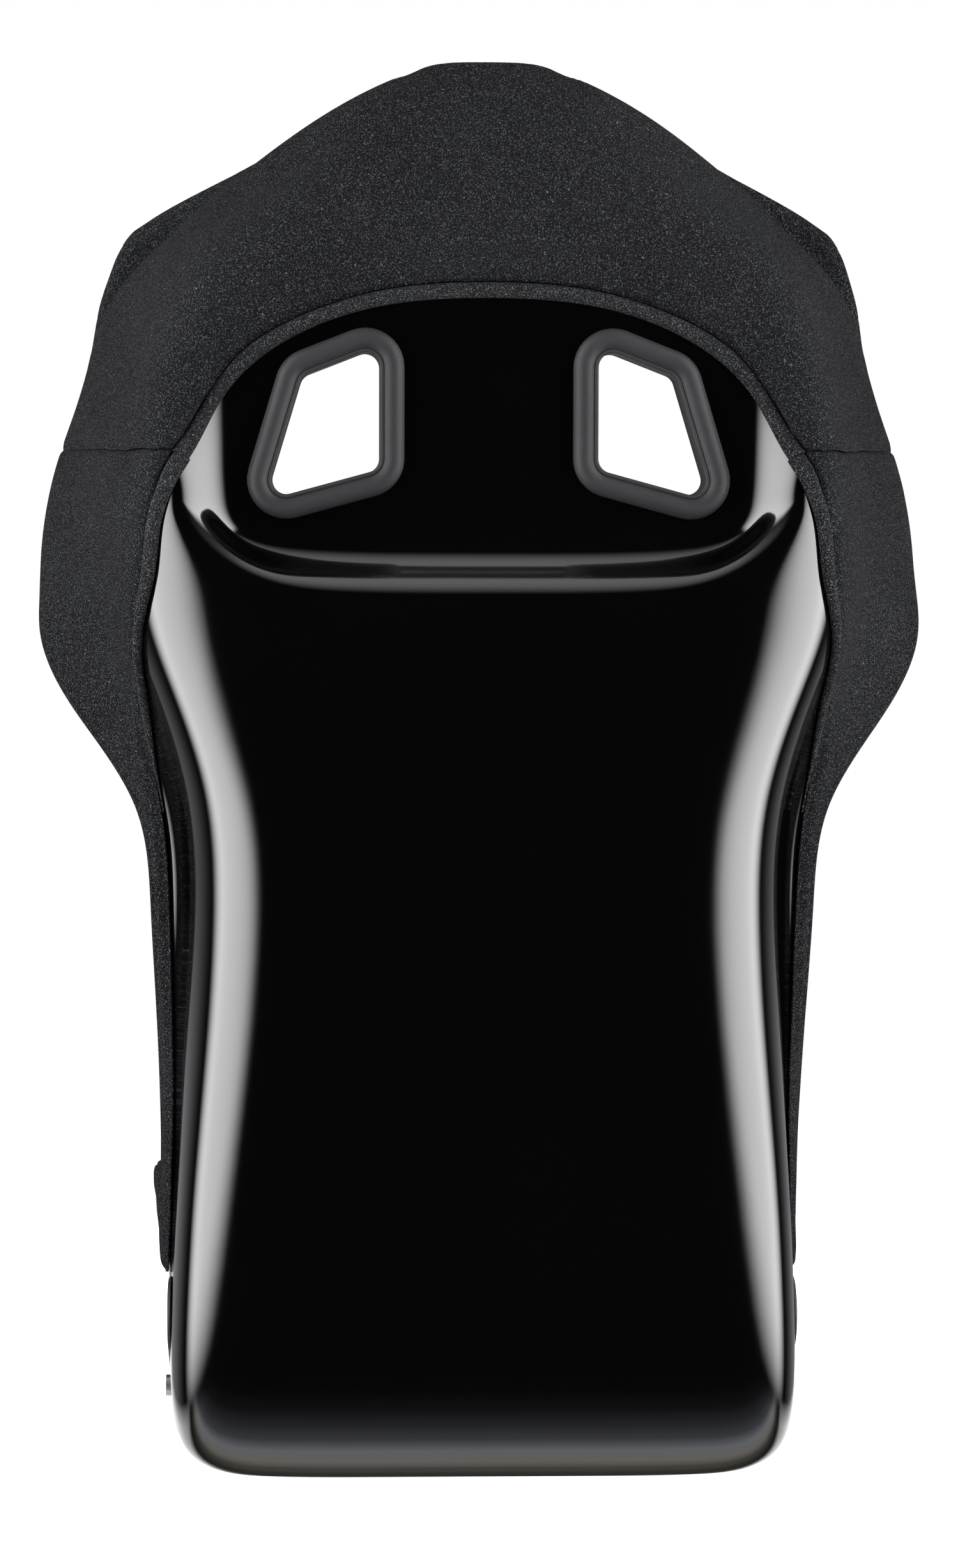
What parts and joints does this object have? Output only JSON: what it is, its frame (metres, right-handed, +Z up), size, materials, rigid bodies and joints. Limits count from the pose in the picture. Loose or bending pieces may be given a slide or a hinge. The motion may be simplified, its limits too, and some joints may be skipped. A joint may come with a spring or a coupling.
{
  "type": "racing seat",
  "caption": "Fixed-back bucket seat: one-piece moulded shell with deep thigh, torso and head wings, wrapped cloth covers, pads and through slots for a harness.",
  "frame": {"origin": "middle of the seat's bounding box, on the plane that it stands on", "axes": "+Z up, -Y the way the seat faces, X across the seat; its left and right nodes are on +X and -X"},
  "size_m": [0.5842, 0.5638, 0.9098],
  "materials": {
    "shell": "polished gel coat",
    "knit_cover": "fine knitted cloth",
    "hem": "rolled cloth binding",
    "cushion": "padded cloth",
    "side_pad": "padded cloth",
    "bezel": "satin grained",
    "insert": "zinc plated"
  },
  "bodies": {
    "root": {"shell": "shell", "cover_head": "knit_cover", "cover_shoulder_left": "knit_cover", "cover_shoulder_right": "knit_cover", "cover_flank_left": "knit_cover", "cover_flank_right": "knit_cover", "cover_front": "knit_cover", "hem_head": "hem", "hem_left": "hem", "hem_right": "hem", "harness_bezel_rear_left": "bezel", "harness_bezel_rear_right": "bezel", "harness_bezel_front_left": "bezel", "harness_bezel_front_right": "bezel", "lap_bezel_outer_left": "bezel", "lap_bezel_outer_right": "bezel", "lap_bezel_inner_left": "bezel", "lap_bezel_inner_right": "bezel", "crotch_bezel": "bezel", "head_pad": "side_pad", "head_side_pad_left": "side_pad", "head_side_pad_right": "side_pad", "upper_back_pad": "side_pad", "shoulder_pad_left": "side_pad", "shoulder_pad_right": "side_pad", "torso_bolster_left": "side_pad", "torso_bolster_right": "side_pad", "back_cushion": "cushion", "seat_cushion": "cushion", "leg_cushion": "cushion", "thigh_pad_left": "side_pad", "thigh_pad_right": "side_pad", "mount_inserts": "insert"}
  },
  "joints": []
}
